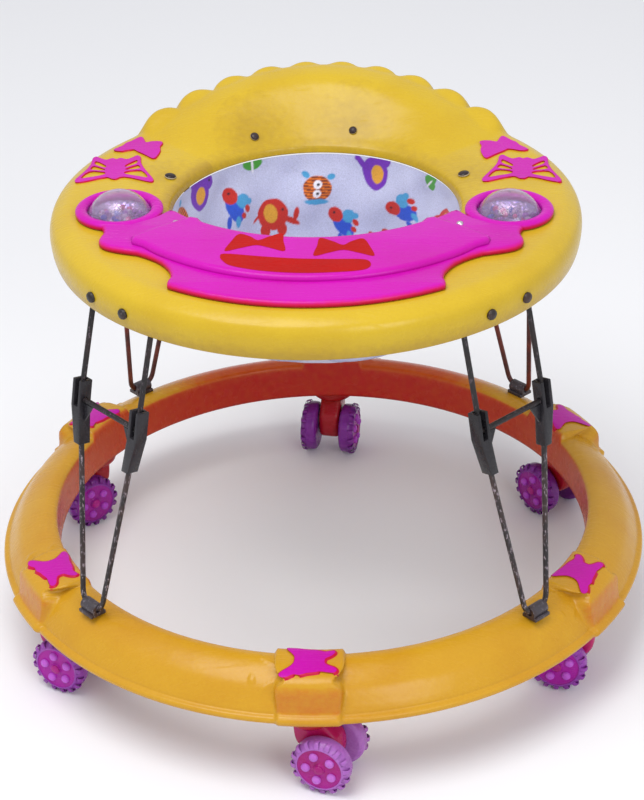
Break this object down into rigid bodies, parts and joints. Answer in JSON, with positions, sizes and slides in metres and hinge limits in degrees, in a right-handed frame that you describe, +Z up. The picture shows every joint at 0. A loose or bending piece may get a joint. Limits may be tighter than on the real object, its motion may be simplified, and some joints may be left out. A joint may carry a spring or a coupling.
{
  "type": "baby walker",
  "caption": "Round folding baby walker: moulded base ring on twin-wheel swivel casters, wire legs, tray with play top, clear domes and a fabric seat sling.",
  "frame": {"origin": "centre of the footprint on the floor, under the middle of the part's box", "axes": "+Z up, -Y towards the front of the walker (the play tray side), +X to the right as seen from the front"},
  "size_m": [0.618, 0.639, 0.471],
  "materials": {
    "ring_plastic": "moulded orange-yellow, satin gloss",
    "tray_plastic": "moulded lemon yellow, satin gloss",
    "play_plastic": "vacuum formed magenta, gloss",
    "caster_plastic": "moulded pink-magenta, satin",
    "wheel_plastic": "moulded purple-magenta with pale nubs",
    "wire_steel": "dark coated steel wire",
    "plated_steel": "plated steel, dull",
    "black_plastic": "black moulded clip",
    "clear_plastic": "clear formed dome",
    "bright_foil": "bright reflective dish",
    "seat_fabric": null,
    "stud_metal": "dark press stud"
  },
  "bodies": {
    "base": {"base_ring": "ring_plastic", "base_bracket_front_left": "plated_steel", "base_bracket_front_right": "plated_steel", "base_bracket_rear_right": "plated_steel", "base_bracket_rear_left": "plated_steel"},
    "caster_front": {"caster_body_front": "caster_plastic", "caster_axle_front": "plated_steel"},
    "wheel_front_a": {"wheel_front_a": "wheel_plastic"},
    "wheel_front_b": {"wheel_front_b": "wheel_plastic"},
    "caster_front_right": {"caster_body_front_right": "caster_plastic", "caster_axle_front_right": "plated_steel"},
    "wheel_front_right_a": {"wheel_front_right_a": "wheel_plastic"},
    "wheel_front_right_b": {"wheel_front_right_b": "wheel_plastic"},
    "caster_rear_right": {"caster_body_rear_right": "caster_plastic", "caster_axle_rear_right": "plated_steel"},
    "wheel_rear_right_a": {"wheel_rear_right_a": "wheel_plastic"},
    "wheel_rear_right_b": {"wheel_rear_right_b": "wheel_plastic"},
    "caster_rear": {"caster_body_rear": "caster_plastic", "caster_axle_rear": "plated_steel"},
    "wheel_rear_a": {"wheel_rear_a": "wheel_plastic"},
    "wheel_rear_b": {"wheel_rear_b": "wheel_plastic"},
    "caster_rear_left": {"caster_body_rear_left": "caster_plastic", "caster_axle_rear_left": "plated_steel"},
    "wheel_rear_left_a": {"wheel_rear_left_a": "wheel_plastic"},
    "wheel_rear_left_b": {"wheel_rear_left_b": "wheel_plastic"},
    "caster_front_left": {"caster_body_front_left": "caster_plastic", "caster_axle_front_left": "plated_steel"},
    "wheel_front_left_a": {"wheel_front_left_a": "wheel_plastic"},
    "wheel_front_left_b": {"wheel_front_left_b": "wheel_plastic"},
    "lower_leg_rear_left": {"lower_wire_rear_left": "wire_steel", "knee_clip_rear_left_a": "black_plastic", "knee_clip_rear_left_b": "black_plastic"},
    "upper_leg_rear_left": {"upper_wire_rear_left": "wire_steel"},
    "lower_leg_rear_right": {"lower_wire_rear_right": "wire_steel", "knee_clip_rear_right_a": "black_plastic", "knee_clip_rear_right_b": "black_plastic"},
    "upper_leg_rear_right": {"upper_wire_rear_right": "wire_steel"},
    "lower_leg_front_right": {"lower_wire_front_right": "wire_steel", "knee_clip_front_right_a": "black_plastic", "knee_clip_front_right_b": "black_plastic"},
    "upper_leg_front_right": {"upper_wire_front_right": "wire_steel"},
    "lower_leg_front_left": {"lower_wire_front_left": "wire_steel", "knee_clip_front_left_a": "black_plastic", "knee_clip_front_left_b": "black_plastic"},
    "upper_leg_front_left": {"upper_wire_front_left": "wire_steel"},
    "tray": {"tray_shell": "tray_plastic", "play_tray": "play_plastic", "dome_left": "clear_plastic", "dome_right": "clear_plastic", "dome_cup_left": "bright_foil", "dome_cup_right": "bright_foil", "seat_sling": "seat_fabric", "seat_stud_rear_left": "stud_metal", "seat_stud_rear_right": "stud_metal", "seat_stud_side_left": "stud_metal", "seat_stud_side_right": "stud_metal", "tray_bracket_front_left": "plated_steel", "tray_bracket_front_right": "plated_steel", "tray_bracket_rear_right": "plated_steel", "tray_bracket_rear_left": "plated_steel"}
  },
  "joints": [
    {"name": "swivel_front", "type": "hinge", "parent": "base", "child": "caster_front", "pos_m": [0, -0.2785, 0.055], "axis": [0, 0, 1], "continuous": true},
    {"name": "spin_front_a", "type": "hinge", "parent": "caster_front", "child": "wheel_front_a", "pos_m": [0.01712, -0.28406, 0.028], "axis": [0.309, 0.9511, 0], "continuous": true},
    {"name": "spin_front_b", "type": "hinge", "parent": "caster_front", "child": "wheel_front_b", "pos_m": [0.01712, -0.28406, 0.028], "axis": [0.309, 0.9511, 0], "continuous": true},
    {"name": "swivel_front_right", "type": "hinge", "parent": "base", "child": "caster_front_right", "pos_m": [0.24508, -0.137, 0.055], "axis": [0, 0, 1], "continuous": true},
    {"name": "spin_front_right_a", "type": "hinge", "parent": "caster_front_right", "child": "wheel_front_right_a", "pos_m": [0.22748, -0.13326, 0.028], "axis": [-0.2079, -0.9781, 0], "continuous": true},
    {"name": "spin_front_right_b", "type": "hinge", "parent": "caster_front_right", "child": "wheel_front_right_b", "pos_m": [0.22748, -0.13326, 0.028], "axis": [-0.2079, -0.9781, 0], "continuous": true},
    {"name": "swivel_rear_right", "type": "hinge", "parent": "base", "child": "caster_rear_right", "pos_m": [0.24508, 0.146, 0.055], "axis": [0, 0, 1], "continuous": true},
    {"name": "spin_rear_right_a", "type": "hinge", "parent": "caster_rear_right", "child": "wheel_rear_right_a", "pos_m": [0.23352, 0.15979, 0.028], "axis": [-0.766, -0.6428, 0], "continuous": true},
    {"name": "spin_rear_right_b", "type": "hinge", "parent": "caster_rear_right", "child": "wheel_rear_right_b", "pos_m": [0.23352, 0.15979, 0.028], "axis": [-0.766, -0.6428, 0], "continuous": true},
    {"name": "swivel_rear", "type": "hinge", "parent": "base", "child": "caster_rear", "pos_m": [0, 0.2875, 0.055], "axis": [0, 0, 1], "continuous": true},
    {"name": "spin_rear_a", "type": "hinge", "parent": "caster_rear", "child": "wheel_rear_a", "pos_m": [-0.00282, 0.26972, 0.028], "axis": [0.9877, -0.1564, 0], "continuous": true},
    {"name": "spin_rear_b", "type": "hinge", "parent": "caster_rear", "child": "wheel_rear_b", "pos_m": [-0.00282, 0.26972, 0.028], "axis": [0.9877, -0.1564, 0], "continuous": true},
    {"name": "swivel_rear_left", "type": "hinge", "parent": "base", "child": "caster_rear_left", "pos_m": [-0.24508, 0.146, 0.055], "axis": [0, 0, 1], "continuous": true},
    {"name": "spin_rear_left_a", "type": "hinge", "parent": "caster_rear_left", "child": "wheel_rear_left_a", "pos_m": [-0.25927, 0.13492, 0.028], "axis": [0.6157, -0.788, 0], "continuous": true},
    {"name": "spin_rear_left_b", "type": "hinge", "parent": "caster_rear_left", "child": "wheel_rear_left_b", "pos_m": [-0.25927, 0.13492, 0.028], "axis": [0.6157, -0.788, 0], "continuous": true},
    {"name": "swivel_front_left", "type": "hinge", "parent": "base", "child": "caster_front_left", "pos_m": [-0.24508, -0.137, 0.055], "axis": [0, 0, 1], "continuous": true},
    {"name": "spin_front_left_a", "type": "hinge", "parent": "caster_front_left", "child": "wheel_front_left_a", "pos_m": [-0.22891, -0.14489, 0.028], "axis": [0.4384, 0.8988, 0], "continuous": true},
    {"name": "spin_front_left_b", "type": "hinge", "parent": "caster_front_left", "child": "wheel_front_left_b", "pos_m": [-0.22891, -0.14489, 0.028], "axis": [0.4384, 0.8988, 0], "continuous": true},
    {"name": "fold", "type": "hinge", "parent": "base", "child": "lower_leg_rear_left", "pos_m": [-0.1987, 0.2032, 0.116], "axis": [0.7071, 0.7071, 0], "range_deg": [0, 36]},
    {"name": "knee_rear_left", "type": "hinge", "parent": "lower_leg_rear_left", "child": "upper_leg_rear_left", "pos_m": [-0.17395, 0.17845, 0.302], "axis": [0.7071, 0.7071, 0], "range_deg": [-98.92, 0]},
    {"name": "tray_tilt", "type": "hinge", "parent": "upper_leg_rear_left", "child": "tray", "pos_m": [-0.15627, 0.16077, 0.402], "axis": [0.7071, 0.7071, 0], "range_deg": [0, 62.92]},
    {"name": "fold_rear_right", "type": "hinge", "parent": "base", "child": "lower_leg_rear_right", "pos_m": [0.1987, 0.2032, 0.116], "axis": [0.7071, -0.7071, 0], "range_deg": [0, 36]},
    {"name": "knee_rear_right", "type": "hinge", "parent": "lower_leg_rear_right", "child": "upper_leg_rear_right", "pos_m": [0.17395, 0.17845, 0.302], "axis": [0.7071, -0.7071, 0], "range_deg": [-98.92, 0]},
    {"name": "fold_front_right", "type": "hinge", "parent": "base", "child": "lower_leg_front_right", "pos_m": [0.1987, -0.1942, 0.116], "axis": [-0.7071, -0.7071, 0], "range_deg": [0, 36]},
    {"name": "knee_front_right", "type": "hinge", "parent": "lower_leg_front_right", "child": "upper_leg_front_right", "pos_m": [0.17395, -0.16945, 0.302], "axis": [-0.7071, -0.7071, 0], "range_deg": [-98.92, 0]},
    {"name": "fold_front_left", "type": "hinge", "parent": "base", "child": "lower_leg_front_left", "pos_m": [-0.1987, -0.1942, 0.116], "axis": [-0.7071, 0.7071, 0], "range_deg": [0, 36]},
    {"name": "knee_front_left", "type": "hinge", "parent": "lower_leg_front_left", "child": "upper_leg_front_left", "pos_m": [-0.17395, -0.16945, 0.302], "axis": [-0.7071, 0.7071, 0], "range_deg": [-98.92, 0]}
  ],
  "couplings": [
    {"joint": "tray_tilt", "follows": "fold", "ratio": 1.7475},
    {"joint": "knee_rear_left", "follows": "fold", "ratio": -2.7475},
    {"joint": "fold_rear_right", "follows": "fold", "ratio": 1},
    {"joint": "knee_rear_right", "follows": "fold", "ratio": -2.7475},
    {"joint": "fold_front_right", "follows": "fold", "ratio": 1},
    {"joint": "knee_front_right", "follows": "fold", "ratio": -2.7475},
    {"joint": "fold_front_left", "follows": "fold", "ratio": 1},
    {"joint": "knee_front_left", "follows": "fold", "ratio": -2.7475}
  ]
}
